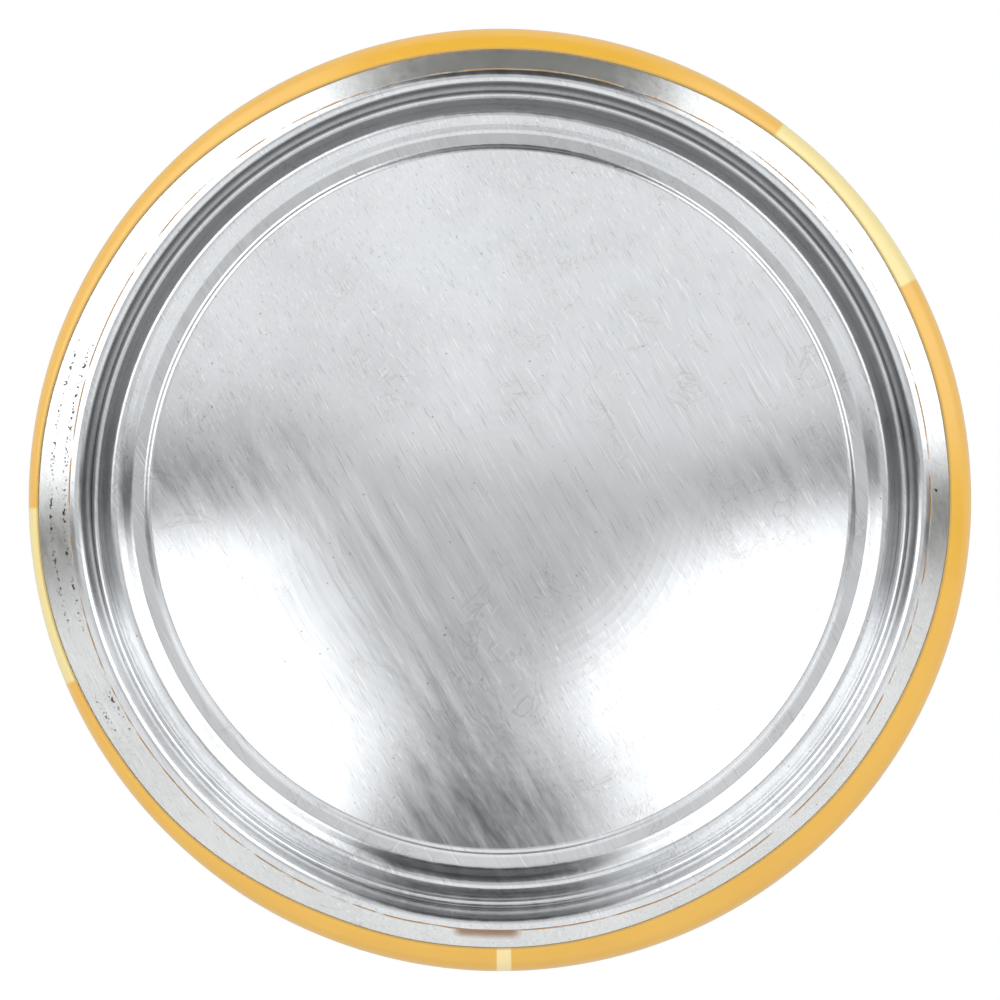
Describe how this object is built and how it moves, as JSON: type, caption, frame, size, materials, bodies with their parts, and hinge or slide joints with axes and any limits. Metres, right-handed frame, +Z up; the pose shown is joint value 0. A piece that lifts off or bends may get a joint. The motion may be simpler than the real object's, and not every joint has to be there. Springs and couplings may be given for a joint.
{
  "type": "tennis ball can",
  "caption": "Drawn metal can in a printed shrink sleeve, with a ring-pull end, push-on plastic overcap and felt-covered balls inside.",
  "frame": {"origin": "centre of the ring that the can stands on, at the height of the surface it stands on", "axes": "+Z up the can's axis towards the overcap, -Y towards the ring pull's nose, +X to its right"},
  "size_m": [0.0796, 0.0796, 0.218],
  "materials": {
    "can_metal": "bright tinplate with straight rolling grain",
    "sleeve_film": "yellow printed shrink film",
    "end_metal": "bright rolled aluminium, lacquered",
    "tab_metal": "bright stamped aluminium",
    "sealant": "grey sealing compound",
    "cap_plastic": "milky soft polyethylene",
    "felt": "optic yellow needle felt",
    "seam_rubber": "pale vulcanised rubber seam",
    "core_rubber": "black moulded rubber"
  },
  "bodies": {
    "can": {"can_body": "can_metal", "shrink_sleeve": "sleeve_film", "top_ring": "end_metal", "seam_compound": "sealant"},
    "lid": {"overcap": "cap_plastic"},
    "end_panel": {"tear_panel": "end_metal", "tab_tongue": "tab_metal"},
    "tab": {"pull_tab": "tab_metal"},
    "ball_1": {"ball_1_core_lower": "core_rubber", "ball_1_core_upper": "core_rubber", "ball_1_felt_a": "felt", "ball_1_felt_b": "felt", "ball_1_seam": "seam_rubber"},
    "ball_2": {"ball_2_core_lower": "core_rubber", "ball_2_core_upper": "core_rubber", "ball_2_felt_a": "felt", "ball_2_felt_b": "felt", "ball_2_seam": "seam_rubber"},
    "ball_3": {"ball_3_core_lower": "core_rubber", "ball_3_core_upper": "core_rubber", "ball_3_felt_a": "felt", "ball_3_felt_b": "felt", "ball_3_seam": "seam_rubber"}
  },
  "joints": [
    {"name": "overcap_lift", "type": "slide", "parent": "can", "child": "lid", "axis": [0, 0, 1], "range_m": [0, 0.29]},
    {"name": "panel_lift", "type": "slide", "parent": "can", "child": "end_panel", "axis": [0, 0, 1], "range_m": [0, 0.25]},
    {"name": "tab_hinge", "type": "hinge", "parent": "end_panel", "child": "tab", "pos_m": [0, -0.03214, 0.21104], "axis": [1, 0, 0], "range_deg": [0, 95]},
    {"name": "ball_3_lift", "type": "slide", "parent": "can", "child": "ball_3", "axis": [0, 0, 1], "range_m": [0, 0.235]},
    {"name": "ball_2_lift", "type": "slide", "parent": "can", "child": "ball_2", "axis": [0, 0, 1], "range_m": [0, 0.225]},
    {"name": "ball_1_lift", "type": "slide", "parent": "can", "child": "ball_1", "axis": [0, 0, 1], "range_m": [0, 0.215]}
  ],
  "couplings": [
    {"joint": "panel_lift", "follows": "overcap_lift", "ratio": 0.86206},
    {"joint": "ball_3_lift", "follows": "overcap_lift", "ratio": 0.81034},
    {"joint": "ball_2_lift", "follows": "overcap_lift", "ratio": 0.77586},
    {"joint": "ball_1_lift", "follows": "overcap_lift", "ratio": 0.74137},
    {"joint": "tab_hinge", "follows": "overcap_lift", "rad_per_m": 5.7174}
  ]
}
